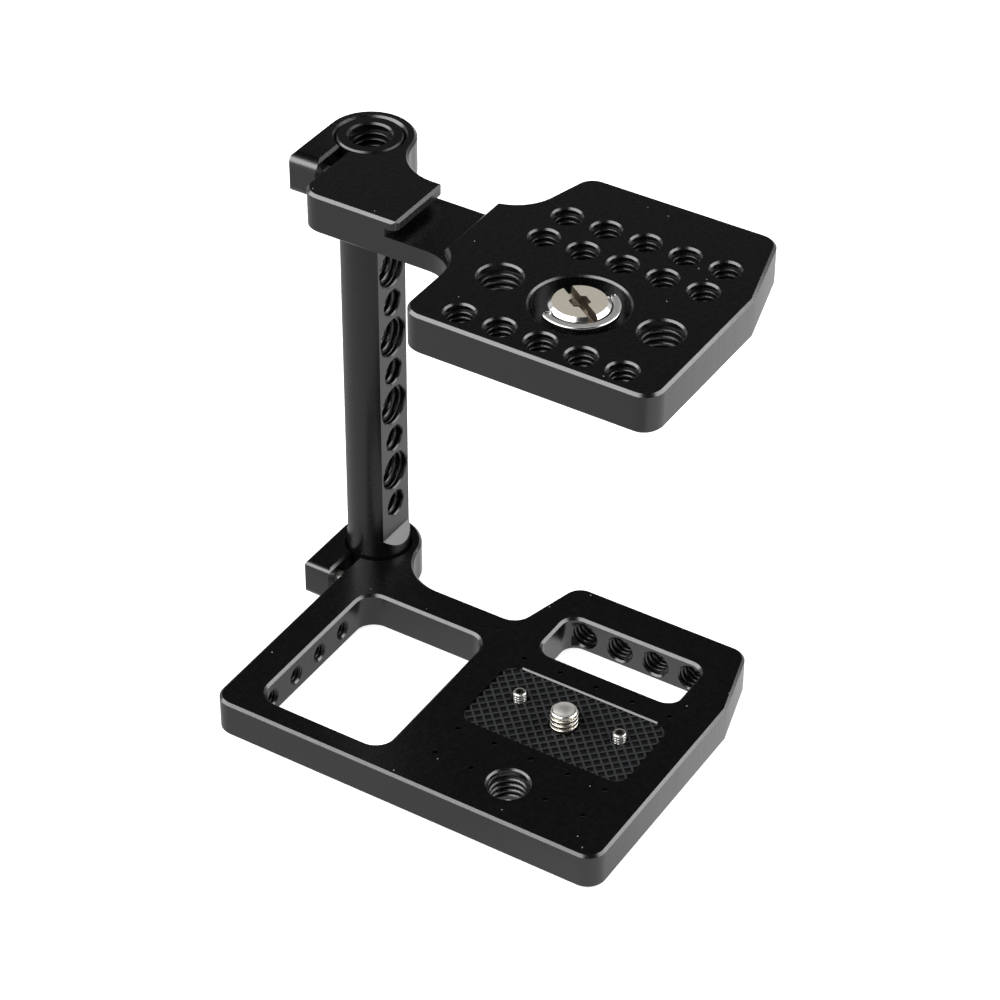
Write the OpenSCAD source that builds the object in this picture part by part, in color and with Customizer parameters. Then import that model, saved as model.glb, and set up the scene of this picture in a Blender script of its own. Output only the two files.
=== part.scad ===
// Half cage for a camera: a base plate and an upper plate, each machined in one piece with
// a split clamp, stand on one round rod. Captive screws with folding rings hold the camera.
// Lengths are in millimetres. +X runs along the plates, +Y to the rod's side, +Z up.
// The origin is on the rod's axis, level with the underside of the base plate.

/* [Plates] */
// Thickness of both plates
plate_t = 9.5; // [9:0.5:14]
// Chamfer along every outer edge of the plates
edge_chamfer = 0.6; // [0.3:0.1:0.7]
// Chamfer at the mouth of each small threaded hole
mouth_chamfer = 0.4; // [0.2:0.05:0.6]
// Distance between neighbouring holes of every grid
hole_pitch = 9.5; // [9:0.25:11]
// Slope of the plates' flanks, in degrees away from Y
flank_angle = 15; // [10:1:18]

/* [Threads] */
// Outer diameter of the quarter-inch thread
quarter_d = 6.35; // [5.5:0.05:6.5]
// Outer diameter of the three-eighths-inch thread
three_eighths_d = 9.525; // [8:0.025:9.6]
// Outer diameter of the small threaded holes in the base plate's left rim
rim_hole_d = 4; // [3:0.5:5]
// Radial clearance of what turns or slides in a hole
running_clearance = 0.05; // [0.02:0.01:0.09]

/* [Rod] */
// Diameter of the rod
rod_d = 15; // [14:0.5:16]
// Length of the rod
rod_len = 122.3; // [115:0.1:170]
// Distance across the two flats that carry the side holes
rod_flats = 10.1; // [9:0.1:12]
// Length of the full round stretch at each end
rod_round_end = 14.5; // [12:0.5:17]
// Height of the lowest side hole above the rod's foot
rod_first_hole = 22.7; // [20:0.1:26]
// Number of side holes, quarter inch and three eighths by turns
rod_hole_count = 9; // [3:2:9]
// Depth of the threaded hole in each end
rod_end_hole_depth = 13; // [8:1:14]

/* [Clamps] */
// Wall of the ring round the rod
clamp_wall = 2.76; // [2.5:0.02:4]
// Hollow rounding between the ring and the plate
clamp_fillet = 12; // [10:0.5:13]
// Width of the slit beside the ear
slit_w = 2.8; // [1.5:0.1:3]
// How far the plates' left side lies beyond the rod's axis
side_offset = 0.4; // [0:0.1:1]
// Reach of the ear in front of the rod's axis
ear_reach = 16.9; // [16.5:0.1:20]
// Rounding of the ear's end
ear_round = 2.2; // [1:0.1:3]
// Distance of the clamp screw in front of the rod's axis
clamp_screw_reach = 12.3; // [12:0.1:12.6]
// Thread diameter of the clamp screw
clamp_screw_d = 4; // [3:0.5:4]
// Head diameter of the clamp screw
clamp_head_d = 7; // [6:0.5:7]
// Head height of the clamp screw
clamp_head_h = 4; // [3:0.5:4]
// How far the head stands out of the ear
clamp_head_proud = 0.5; // [0:0.1:1]
// Length of the clamp screw under its head
clamp_screw_len = 14; // [12:1:16]

/* [Base plate] */
// Right end of the base plate, from the rod's axis
base_right = 100; // [98:1:106]
// Front edge of the base plate, from the rod's axis
base_front = 67.9; // [66:0.1:75]
// Rear edge of the narrow left part, in front of the rod's axis
base_waist = 8.6; // [8:0.1:10]
// Rear edge of the wide right part, behind the rod's axis
base_rear = 10.4; // [9:0.1:14]
// Left end of the wide part's rear edge
base_tab_left = 49.2; // [48:0.1:51]
// How far the rear edge stops short of the base plate's right end
base_tab_inset = 5.4; // [4:0.1:7]
// Rounding of the plates' outer corners
corner_r = 4.5; // [2:0.5:6]
// Left side of the large window
window_left = 8.3; // [7:0.1:10]
// Right side of the large window
window_right = 41.7; // [36:0.1:44]
// Front side of the large window, in front of the rod's axis
window_front = 61.9; // [58:0.1:62]
// Rear side of the large window, in front of the rod's axis
window_rear = 17.6; // [17:0.1:22]
// Rounding of the large window's corners
window_r = 4.6; // [2:0.1:6]
// Distance from the large window's front side to the first small hole in the left rim
rim_hole_start = 5.4; // [4:0.1:8]
// Left side of the rear slot
slot_left = 53.2; // [52:0.1:56]
// Right side of the rear slot
slot_right = 89.3; // [84:0.1:90]
// Front side of the rear slot, in front of the rod's axis
slot_front = 14.9; // [13:0.1:15]
// Rear side of the rear slot, behind the rod's axis
slot_rear = 0.1; // [-2:0.1:2]
// Rounding of the rear slot's corners
slot_r = 3.6; // [2:0.1:5]
// Place of the camera screw along X
base_screw_x = 71.4; // [71:0.1:72]
// Place of the camera screw in front of the rod's axis
base_screw_y = 33.1; // [32.5:0.1:34]

/* [Grip pad] */
// Length of the rubber pad
pad_len = 42.2; // [38:0.1:43]
// Width of the rubber pad
pad_w = 21.8; // [19:0.1:22]
// Thickness of the rubber pad
pad_t = 1.5; // [1:0.1:2]
// Rounding of the pad's corners
pad_r = 3.4; // [2:0.1:5]
// How far the pad lies below the plate's top
pad_sunk = 0.3; // [0.1:0.1:0.8]
// Gap between the pad and its pocket
pad_gap = 0.1; // [0.05:0.05:0.3]
// Distance of each register screw from the camera screw
register_spacing = 13; // [11:0.5:15]
// How far the register screws stand behind the camera screw
register_back = 2.3; // [0:0.1:3]
// Thread diameter of the register screws
register_d = 3; // [2.5:0.5:4]
// Length of the register screws
register_len = 6; // [5:0.5:8]
// How far the register screws stand above the pad
register_proud = 1.9; // [1:0.1:3]

/* [Camera screws] */
// Head diameter
head_d = 13; // [12:0.5:14]
// Head height
head_h = 5.2; // [5:0.1:6]
// Bevel round the head's face
head_bevel = 0.75; // [0.3:0.05:1]
// Width of the coin slot
coin_slot_w = 2; // [1.5:0.1:2.5]
// Depth of the coin slot
coin_slot_depth = 2.4; // [1.5:0.1:3]
// Size of the hexagon socket across its flats
hex_size = 4; // [3:0.5:5]
// Depth of the hexagon socket
hex_depth = 3.4; // [2.5:0.1:4]
// Radial width of the folding ring
ring_w = 1.8; // [1.4:0.1:2.2]
// Thickness of the folding ring
ring_t = 1.4; // [1:0.1:1.6]
// Gap between the ring and the head
ring_gap = 0.25; // [0.2:0.05:0.4]
// Diameter of the ring's pivots
pivot_d = 1.2; // [0.8:0.1:1.4]
// Length of the ring's pivots inside the head
pivot_len = 1.6; // [1:0.1:2]
// How far the upper screw's head stands above the plate
upper_head_proud = 0.75; // [0:0.05:1]
// How far the base screw's head lies inside the plate
base_head_sunk = 0.25; // [0:0.05:0.4]
// Length of thread above the pad
base_thread_len = 4.8; // [4:0.1:7]
// Length of thread below the upper plate
upper_thread_len = 4.8; // [4:0.1:7]
// Diameter of the counterbores round the heads
counterbore_d = 21; // [20:0.5:22]
// Direction in which the folded ring lies, in degrees from X
ring_turn = -34; // [-90:1:90]

/* [Upper plate] */
// Right end of the upper plate, from the rod's axis
upper_right = 101.4; // [99:0.1:106]
// Left side of the upper plate's front part
upper_left = 42.2; // [42:0.1:44]
// Front edge of the upper plate, from the rod's axis
upper_front = 53.3; // [53:0.1:58]
// Rear edge of the upper plate, behind the rod's axis
upper_rear = 10.8; // [10:0.1:14]
// Left end of the upper plate's rear edge
upper_tab_left = 49.3; // [49:0.1:51]
// How far the rear edge stops short of the upper plate's right end
upper_tab_inset = 6.1; // [4:0.1:7]
// Place of the upper camera screw along X
upper_screw_x = 72.3; // [72:0.1:73]
// Place of the upper camera screw in front of the rod's axis
upper_screw_y = 32.3; // [32:0.1:33]
// Front face of the clamp block and the arm, from the rod's axis
arm_front = 27.1; // [25:0.1:29]
// Rear face of the clamp block and the arm, in front of the rod's axis
arm_rear = 8.4; // [8:0.1:9]
// Hollow rounding where the arm widens into the plate
arm_fillet = 10.5; // [8:0.5:11]
// Thickness of the arm under the accessory shoe
arm_t = 5.3; // [4.5:0.1:5.5]
// Thickness of the shoe's lips
lip_t = 2.2; // [1.8:0.1:2.5]
// Left side of the shoe's mouth
shoe_left = 24.4; // [24:0.1:26]
// Width of the shoe's mouth
shoe_mouth = 13.5; // [12.5:0.1:14]
// How far the channel reaches under each lip
shoe_undercut = 2.9; // [2:0.1:3]
// Rounding of both corners of the clamp block's lip
lip_corner_r = 1.6; // [1:0.1:2]
// Distance of the nearest grid row behind the camera screw
grid_rear_row = 17.4; // [17:0.1:18]
// Distance of the front grid row in front of the camera screw
grid_front_row = 15.5; // [15:0.1:16]

/* [Hidden] */

// How far a cutting shape runs past the face that it cuts
over = 1;
// Chamfer at both ends of the clamp bores and at the rod's ends
bore_chamfer = 0.7;
rod_chamfer = 0.35;
// Chamfer at the rod's side holes and at the counterbores
side_chamfer = 0.3;
counterbore_chamfer = 0.4;
// Radius left where a drill point just breaks through the plate's top
pinhole_r = 0.6;
drill_point_angle = 118;
// Chamfers at the tips of the screws
tip_chamfer = 0.7;
clamp_tip_chamfer = 0.5;
register_tip_chamfer = 0.35;
// Sizes of the driving sockets of the clamp and register screws
clamp_socket = 3;
clamp_socket_depth = 2;
register_socket = 1.5;
register_socket_depth = 1.6;
clamp_head_edge = 0.4;
// Narrow neck that keeps a camera screw in its plate
neck_d = 4.8;
// Clearance round the clamp screw in the ear and round its head
ear_hole_clearance = 0.25;
head_clearance = 0.2;
// Depth of thread past the clamp screw's tip
tap_runout = 1;
// Step where a rounding runs into a flat side, so that the two meet in a clear edge
blend_step = 0.0005;
// Straight stretch between the clamp's ring and the hollow rounding beside it
waist_stretch = 0.4;
// Rounding of the ear's upright edges
ear_edge_r = 0.8;
// Play between the pad and the screws that pass through it
pad_hole_gap = 0.4;

quarter_r = quarter_d / 2;
three_eighths_r = three_eighths_d / 2;
rod_r = rod_d / 2;
clamp_bore_r = rod_r + running_clearance;
clamp_ring_r = clamp_bore_r + clamp_wall;
slit_right = -side_offset;
slit_left = slit_right - slit_w;
head_r = head_d / 2;
ring_inner_r = head_r + ring_gap;
ring_outer_r = ring_inner_r + ring_w;
// Level of the ring's pivots below the head's face: the ring lies level with the plate
pivot_level = upper_head_proud + ring_t / 2;
upper_under = rod_len - plate_t;
upper_counterbore = head_h - upper_head_proud;
base_counterbore = head_h + base_head_sunk;
base_pocket = pad_t + pad_sunk;
shoe_right = shoe_left + shoe_mouth;

function unit(v) = v / norm(v);
// Left-hand normal of the edge from a to b
function inward(a, b) = let (d = unit(b - a)) [-d[1], d[0]];
function xy(p) = [p[0], p[1]];

// One corner [x, y, radius] of an outline drawn anticlockwise: its rounding's centre, the points
// where the rounding starts and ends, its side, 1 if it bulges and -1 if it is hollow, and its radius.
function bend(before, here, after) =
    let (n1 = inward(xy(before), xy(here)), n2 = inward(xy(here), xy(after)), r = here[2],
         side = sign(n1[0] * n2[1] - n1[1] * n2[0]),
         centre = xy(here) + (n1 + n2) * side * r / (1 + n1 * n2))
    [centre, centre - side * n1 * r, centre - side * n2 * r, side, r];

function bends(corners) =
    let (n = len(corners))
    [for (i = [0 : n - 1]) bend(corners[(i + n - 1) % n], corners[i], corners[(i + 1) % n])];

// Does the same above and below, mirrored at half the thickness
module both_ends(thickness) {
    children();
    translate([0, 0, thickness]) mirror([0, 0, 1]) children();
}

// Round corner of a plate, with a chamfer at both ends
module barrel(r, thickness) {
    c = edge_chamfer;
    translate([0, 0, c]) cylinder(r = r, h = thickness - 2 * c, $fn = 96);
    both_ends(thickness) cylinder(r1 = r - c, r2 = r, h = c, $fn = 96);
}

// Cutter for a hollow corner or a window's corner, flared at both ends
module spool(r, thickness) {
    translate([0, 0, -over]) cylinder(r = r, h = thickness + 2 * over, $fn = 96);
    both_ends(thickness) translate([0, 0, -over])
        cylinder(r1 = r + edge_chamfer + over, r2 = r, h = edge_chamfer + over, $fn = 96);
}

// Takes the chamfers off the edge from point a to point b, and as far past both as the sides given
module bevel(a, b, past_a, past_b, thickness) {
    section = [[edge_chamfer + over, -over], [-over, -over], [-over, edge_chamfer + over]];
    translate([a[0], a[1], 0]) rotate([0, 0, atan2(b[1] - a[1], b[0] - a[0])])
        both_ends(thickness) translate([-past_a, 0, 0])
        rotate([90, 0, 90]) linear_extrude(norm(b - a) + past_a + past_b) polygon(section);
}

// Plate with chamfered edges. Each rounding is a barrel or a spool about its centre. An edge has no
// chamfer where its first corner's fourth value is true.
module plate(corners, thickness) {
    n = len(corners);
    all = bends(corners);
    difference() {
        linear_extrude(thickness) polygon([for (e = all) each e[4] == 0 ? [e[1]] : [e[1], e[0], e[2]]]);
        for (i = [0 : n - 1]) if (!corners[i][3]) let (e = all[i], f = all[(i + 1) % n])
            bevel(e[2], f[1], e[3] > 0 ? over : 0, f[3] > 0 ? over : 0, thickness);
        for (e = all) if (e[4] > 0 && e[3] < 0)
            translate([e[0][0], e[0][1], 0]) spool(e[4] - blend_step, thickness);
    }
    for (e = all) if (e[4] > 0 && e[3] > 0)
        translate([e[0][0], e[0][1], 0]) barrel(e[4] - blend_step, thickness);
}

// Rounded rectangle, upwards from z = 0
module rounded_box(left, front, right, rear, r, thickness) {
    translate([left + r, front, 0]) cube([right - left - 2 * r, rear - front, thickness]);
    translate([left, front + r, 0]) cube([right - left, rear - front - 2 * r, thickness]);
    for (x = [left + r, right - r]) for (y = [front + r, rear - r])
        translate([x, y, 0]) cylinder(r = r, h = thickness, $fn = 64);
}

// Section of a cutter that is wide from a to b and flares at both ends
function flared(a, b, thickness) =
    let (f = edge_chamfer + over, c = edge_chamfer)
    [[a - f, -over], [b + f, -over], [b, c], [b, thickness - c],
     [b + f, thickness + over], [a - f, thickness + over], [a, thickness - c], [a, c]];

// Cutter for a window whose rims are chamfered
module window(left, front, right, rear, r, thickness) {
    translate([0, rear - r, 0]) rotate([90, 0, 0])
        linear_extrude(rear - front - 2 * r) polygon(flared(left, right, thickness));
    translate([left + r, 0, 0]) rotate([90, 0, 90])
        linear_extrude(right - left - 2 * r) polygon(flared(front, rear, thickness));
    for (x = [left + r, right - r]) for (y = [front + r, rear - r]) translate([x, y, 0]) spool(r, thickness);
}

// Cutter for a threaded hole with a chamfered mouth at both ends, upwards from z = 0
module hole(r, depth, chamfer = mouth_chamfer) {
    translate([0, 0, -over]) cylinder(r = r, h = depth + 2 * over, $fn = 48);
    translate([0, 0, -over]) cylinder(r1 = r + chamfer + over, r2 = r, h = chamfer + over, $fn = 48);
    translate([0, 0, depth - chamfer])
        cylinder(r1 = r, r2 = r + chamfer + over, h = chamfer + over, $fn = 48);
}

// Cutter for a hole that is open at its lower end only
module blind_hole(r, depth, chamfer = mouth_chamfer) {
    translate([0, 0, -over]) cylinder(r = r, h = depth + over, $fn = 48);
    if (chamfer > 0) translate([0, 0, -over]) cylinder(r1 = r + chamfer + over, r2 = r, h = chamfer + over, $fn = 48);
}

// Cutter for a threaded hole drilled from below until its point just breaks the top
module pierced_hole() {
    point_h = (quarter_r - pinhole_r) / tan(drill_point_angle / 2);
    blind_hole(quarter_r, plate_t - point_h);
    translate([0, 0, plate_t - point_h]) cylinder(r1 = quarter_r, r2 = pinhole_r, h = point_h, $fn = 48);
    cylinder(r = pinhole_r, h = plate_t + over, $fn = 24);
}

// What the clamp takes away: bore, slit, and the two stretches of the clamp screw's hole
module clamp_cuts() {
    flare = edge_chamfer + over;
    translate([0, 0, -over]) cylinder(r = clamp_bore_r, h = plate_t + 2 * over, $fn = 96);
    translate([0, 0, -over])
        cylinder(r1 = clamp_bore_r + bore_chamfer + over, r2 = clamp_bore_r, h = bore_chamfer + over, $fn = 96);
    translate([0, 0, plate_t - bore_chamfer])
        cylinder(r1 = clamp_bore_r, r2 = clamp_bore_r + bore_chamfer + over, h = bore_chamfer + over, $fn = 96);
    rotate([90, 0, 0]) linear_extrude(ear_reach + over) polygon([
        [slit_left - flare, -over], [slit_right + flare, -over], [slit_right, edge_chamfer],
        [slit_right, plate_t - edge_chamfer], [slit_right + flare, plate_t + over],
        [slit_left - flare, plate_t + over], [slit_left, plate_t - edge_chamfer], [slit_left, edge_chamfer]]);
    translate([-clamp_ring_r, -clamp_screw_reach, plate_t / 2]) rotate([0, 90, 0]) {
        translate([0, 0, -over])
            cylinder(r = clamp_head_d / 2 + head_clearance, h = clamp_head_h - clamp_head_proud + over, $fn = 48);
        cylinder(r = clamp_screw_d / 2 + ear_hole_clearance, h = clamp_ring_r + slit_right, $fn = 48);
        cylinder(r = clamp_screw_d / 2 + running_clearance,
                 h = clamp_head_h - clamp_head_proud + clamp_screw_len + tap_runout, $fn = 48);
    }
    ear_end_cut();
}

// Rounds the top and the bottom of the ear's end
module ear_end_cut() {
    for (flip = [0, 1]) translate([0, 0, flip * plate_t]) mirror([0, 0, flip])
        translate([-clamp_ring_r - over, -ear_reach, 0]) rotate([90, 0, 90])
        linear_extrude(clamp_ring_r + over + slit_right) difference() {
            translate([-over, -over]) square(ear_round + over);
            translate([ear_round, ear_round]) circle(r = ear_round, $fn = 64);
        }
}

module counterbore(depth) {
    translate([0, 0, -over]) cylinder(r = counterbore_d / 2, h = depth + over, $fn = 96);
    translate([0, 0, -over]) cylinder(r1 = counterbore_d / 2 + counterbore_chamfer + over,
                                      r2 = counterbore_d / 2, h = counterbore_chamfer + over, $fn = 96);
}

// The clamp's share of both outlines: from the waist past the ring to the end of the ear. The hollow
// rounding leaves the ring along its tangent at the angle turn.
function clamp_corners(waist) =
    let (reach = clamp_ring_r + clamp_fillet,
         turn = asin((clamp_fillet - waist) / norm([reach, waist_stretch])) + atan(waist_stretch / reach))
    [[(clamp_ring_r + waist * sin(turn)) / cos(turn), -waist, clamp_fillet],
     [clamp_ring_r * cos(turn), clamp_ring_r * sin(turn), 0, true], [-clamp_ring_r, 0, 0],
     [-clamp_ring_r, -ear_reach, ear_edge_r], [slit_right, -ear_reach, 0]];

// Where the left flank, which starts at the rear edge's left end, meets the line at height y
function flank_foot(left, rear, y) = left - (rear - y) * tan(flank_angle);

function base_corners() =
    concat([[slit_right, -base_front, corner_r], [base_right, -base_front, corner_r],
            [base_right, base_rear - base_tab_inset / tan(flank_angle), 0],
            [base_right - base_tab_inset, base_rear, corner_r], [base_tab_left, base_rear, corner_r],
            [flank_foot(base_tab_left, base_rear, -base_waist), -base_waist, corner_r]],
           clamp_corners(base_waist));

module base_plate() {
    color("#1b1b1d") difference() {
        union() {
            plate(base_corners(), plate_t);
            barrel(clamp_ring_r - blend_step, plate_t);
        }
        window(window_left, -window_front, window_right, -window_rear, window_r, plate_t);
        window(slot_left, -slot_front, slot_right, slot_rear, slot_r, plate_t);
        clamp_cuts();
        translate([base_screw_x, -base_screw_y, 0]) {
            counterbore(base_counterbore);
            translate([0, 0, base_counterbore - over])
                cylinder(r = quarter_r + running_clearance, h = plate_t, $fn = 48);
            translate([0, 0, plate_t - base_pocket]) pad_shape(base_pocket + over, pad_gap);
            translate([0, -5 * hole_pitch / 2, 0]) hole(three_eighths_r, plate_t);
            for (side = [-1, 1]) {
                translate([side * register_spacing, register_back, 0])
                    cylinder(r = register_d / 2 + running_clearance, h = plate_t, $fn = 48);
                for (column = [1, 2])
                    translate([side * column * hole_pitch, -5 * hole_pitch / 2, 0]) pierced_hole();
                for (column = [-2 : 2])
                    translate([column * hole_pitch, side * 3 * hole_pitch / 2, 0]) pierced_hole();
            }
        }
        for (column = [-3 : 2 : 3]) translate([base_screw_x + column * hole_pitch / 2, base_rear, plate_t / 2])
            rotate([90, 0, 0]) hole(quarter_r, base_rear - slot_rear);
        for (row = [0 : 3]) translate([slit_right, -window_front + rim_hole_start + row * hole_pitch, plate_t / 2])
            rotate([0, 90, 0]) hole(rim_hole_d / 2, window_left - slit_right);
    }
}

// Rounded rectangle round the camera screw, wider than the pad by gap on each side
module pad_shape(thickness, gap) {
    rounded_box(-pad_len / 2 - gap, -pad_w / 2 - gap, pad_len / 2 + gap, pad_w / 2 + gap, pad_r + gap, thickness);
}

module grip_pad() {
    color("#242628") translate([base_screw_x, -base_screw_y, plate_t - base_pocket]) difference() {
        pad_shape(pad_t, 0);
        translate([0, 0, -over]) cylinder(r = quarter_r + pad_hole_gap, h = pad_t + 2 * over, $fn = 48);
        for (side = [-1, 1]) translate([side * register_spacing, register_back, -over])
            cylinder(r = register_d / 2 + pad_hole_gap, h = pad_t + 2 * over, $fn = 32);
    }
}

// Headless screw with a hexagon socket in its upper end
module register_screw(side) {
    color("#c9c9c4") translate([base_screw_x + side * register_spacing, register_back - base_screw_y,
                                plate_t - pad_sunk + register_proud - register_len]) difference() {
        union() {
            cylinder(d = register_d, h = register_len - register_tip_chamfer, $fn = 32);
            translate([0, 0, register_len - register_tip_chamfer])
                cylinder(d1 = register_d, d2 = register_d - 2 * register_tip_chamfer,
                         h = register_tip_chamfer, $fn = 32);
        }
        translate([0, 0, register_len - register_socket_depth]) hexagon(register_socket, register_socket_depth + over);
    }
}
module register_screw_left() register_screw(-1);
module register_screw_right() register_screw(1);

// Hexagonal prism, size measured across its flats
module hexagon(size, h) {
    cylinder(d = size / cos(30), h = h, $fn = 6);
}

// Camera screw standing on its head: face at z = 0, thread upwards
module camera_screw(neck_len, thread_len) {
    color("#c9c6bd") difference() {
        union() {
            cylinder(r1 = head_r - head_bevel, r2 = head_r, h = head_bevel, $fn = 96);
            translate([0, 0, head_bevel]) cylinder(r = head_r, h = head_h - head_bevel, $fn = 96);
            cylinder(d = neck_d, h = head_h + neck_len + tip_chamfer, $fn = 48);
            translate([0, 0, head_h + neck_len]) {
                cylinder(r = quarter_r, h = thread_len - tip_chamfer, $fn = 48);
                translate([0, 0, thread_len - tip_chamfer])
                    cylinder(r1 = quarter_r, r2 = quarter_r - tip_chamfer, h = tip_chamfer, $fn = 48);
            }
        }
        translate([-head_r - over, -coin_slot_w / 2, -over])
            cube([head_d + 2 * over, coin_slot_w, coin_slot_depth + over]);
        translate([0, 0, -over]) hexagon(hex_size, hex_depth + over);
        translate([0, 0, pivot_level]) rotate([90, 0, 0])
            cylinder(d = pivot_d + 2 * running_clearance, h = head_d + over, center = true, $fn = 32);
    }
}

// Half ring that folds flat to the +X side of the screw, with pivots that point inwards
module screw_ring() {
    color("#d8d8d6") translate([0, 0, pivot_level]) {
        rotate([0, 0, -90]) translate([0, 0, -ring_t / 2])
            rotate_extrude(angle = 180, $fn = 96) translate([ring_inner_r, 0]) square([ring_w, ring_t]);
        for (side = [-1, 1]) translate([0, side * (ring_inner_r + ring_w / 2), 0]) rotate([side * 90, 0, 0])
            cylinder(d = pivot_d, h = ring_gap + pivot_len + ring_w / 2, $fn = 32);
    }
}

module at_base_screw() {
    translate([base_screw_x, -base_screw_y, base_head_sunk]) rotate([0, 0, ring_turn]) children();
}
module at_upper_screw() {
    translate([upper_screw_x, -upper_screw_y, rod_len + upper_head_proud]) rotate([0, 0, ring_turn])
        rotate([180, 0, 0]) children();
}

module base_camera_screw() {
    at_base_screw() camera_screw(plate_t - pad_sunk - base_counterbore, base_thread_len);
}
module base_screw_ring() { at_base_screw() screw_ring(); }
module upper_camera_screw() {
    at_upper_screw() camera_screw(plate_t - upper_counterbore, upper_thread_len);
}
module upper_screw_ring() { at_upper_screw() screw_ring(); }

// Socket screw lying along X, its head in the ear and its thread in the block beyond the slit
module clamp_screw(height) {
    color("#b9b9b6") translate([-clamp_ring_r - clamp_head_proud, -clamp_screw_reach, height + plate_t / 2])
        rotate([0, 90, 0]) difference() {
            union() {
                cylinder(r1 = clamp_head_d / 2 - clamp_head_edge, r2 = clamp_head_d / 2, h = clamp_head_edge, $fn = 48);
                translate([0, 0, clamp_head_edge])
                    cylinder(d = clamp_head_d, h = clamp_head_h - clamp_head_edge, $fn = 48);
                cylinder(d = clamp_screw_d, h = clamp_head_h + clamp_screw_len - clamp_tip_chamfer, $fn = 48);
                translate([0, 0, clamp_head_h + clamp_screw_len - clamp_tip_chamfer])
                    cylinder(d1 = clamp_screw_d, d2 = clamp_screw_d - 2 * clamp_tip_chamfer,
                             h = clamp_tip_chamfer, $fn = 48);
            }
            translate([0, 0, -over]) hexagon(clamp_socket, clamp_socket_depth + over);
        }
}
module base_clamp_screw() clamp_screw(0);
module upper_clamp_screw() clamp_screw(upper_under);

module rod() {
    color("#202022") difference() {
        union() {
            cylinder(r1 = rod_r - rod_chamfer, r2 = rod_r, h = rod_chamfer, $fn = 96);
            translate([0, 0, rod_chamfer]) cylinder(r = rod_r, h = rod_len - 2 * rod_chamfer, $fn = 96);
            translate([0, 0, rod_len - rod_chamfer])
                cylinder(r1 = rod_r, r2 = rod_r - rod_chamfer, h = rod_chamfer, $fn = 96);
        }
        for (side = [-1, 1])
            translate([side * rod_flats / 2 - (side < 0 ? rod_r : 0), -rod_r, rod_round_end])
                cube([rod_r, rod_d, rod_len - 2 * rod_round_end]);
        for (i = [0 : rod_hole_count - 1])
            translate([-rod_flats / 2, 0, rod_first_hole + i * hole_pitch]) rotate([0, 90, 0])
                hole(i % 2 == 0 ? quarter_r : three_eighths_r, rod_flats, side_chamfer);
        blind_hole(three_eighths_r, rod_end_hole_depth, 0);
        translate([0, 0, rod_len]) mirror([0, 0, 1]) blind_hole(three_eighths_r, rod_end_hole_depth);
    }
}

function upper_corners() =
    concat([[slit_right, -arm_front, corner_r], [upper_left, -arm_front, arm_fillet],
            [upper_left, -upper_front, corner_r], [upper_right, -upper_front, corner_r],
            [upper_right, upper_rear - upper_tab_inset / tan(flank_angle), 0],
            [upper_right - upper_tab_inset, upper_rear, corner_r], [upper_tab_left, upper_rear, corner_r],
            [flank_foot(upper_tab_left, upper_rear, -arm_rear), -arm_rear, arm_fillet]],
           clamp_corners(arm_rear));

// Channel for an accessory foot, open above and at both ends, along Y across the arm
module shoe_cuts() {
    channel_left = shoe_left - shoe_undercut;
    channel_right = shoe_right + shoe_undercut;
    flare = edge_chamfer + over;
    rotate([90, 0, 0]) linear_extrude(arm_front + arm_fillet) polygon([
        [channel_left, arm_t], [channel_right, arm_t],
        [channel_right, plate_t - lip_t], [shoe_right, plate_t - lip_t],
        [shoe_right, plate_t - edge_chamfer], [shoe_right + flare, plate_t + over],
        [shoe_left - flare, plate_t + over], [shoe_left, plate_t - edge_chamfer],
        [shoe_left, plate_t - lip_t], [channel_left, plate_t - lip_t]]);
    // Rounds both corners of the clamp block's lip
    for (end = [[lip_corner_r - arm_front, -lip_corner_r - over], [-lip_corner_r - arm_rear, 0]])
        translate([shoe_left - lip_corner_r, end[0], arm_t + over / 2])
        linear_extrude(plate_t) difference() {
            translate([0, end[1]]) square(lip_corner_r + over);
            circle(r = lip_corner_r, $fn = 48);
        }
}

module upper_plate() {
    color("#1b1b1d") translate([0, 0, upper_under]) difference() {
        union() {
            plate(upper_corners(), plate_t);
            barrel(clamp_ring_r - blend_step, plate_t);
        }
        clamp_cuts();
        shoe_cuts();
        translate([upper_screw_x, -upper_screw_y, 0]) {
            translate([0, 0, plate_t]) mirror([0, 0, 1]) counterbore(upper_counterbore);
            translate([0, 0, -over]) cylinder(r = quarter_r + running_clearance, h = plate_t, $fn = 48);
            for (side = [-1, 1]) translate([side * 2 * hole_pitch, 0, 0]) hole(three_eighths_r, plate_t);
            for (column = [-2 : 2]) for (row = [-grid_front_row, grid_rear_row, grid_rear_row + hole_pitch])
                translate([column * hole_pitch, row, 0]) hole(quarter_r, plate_t);
        }
    }
}

base_plate();
grip_pad();
register_screw_left();
register_screw_right();
base_camera_screw();
base_screw_ring();
base_clamp_screw();
rod();
upper_plate();
upper_camera_screw();
upper_screw_ring();
upper_clamp_screw();
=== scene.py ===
import math

import bmesh
import bpy
from mathutils import Matrix, Vector


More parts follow.
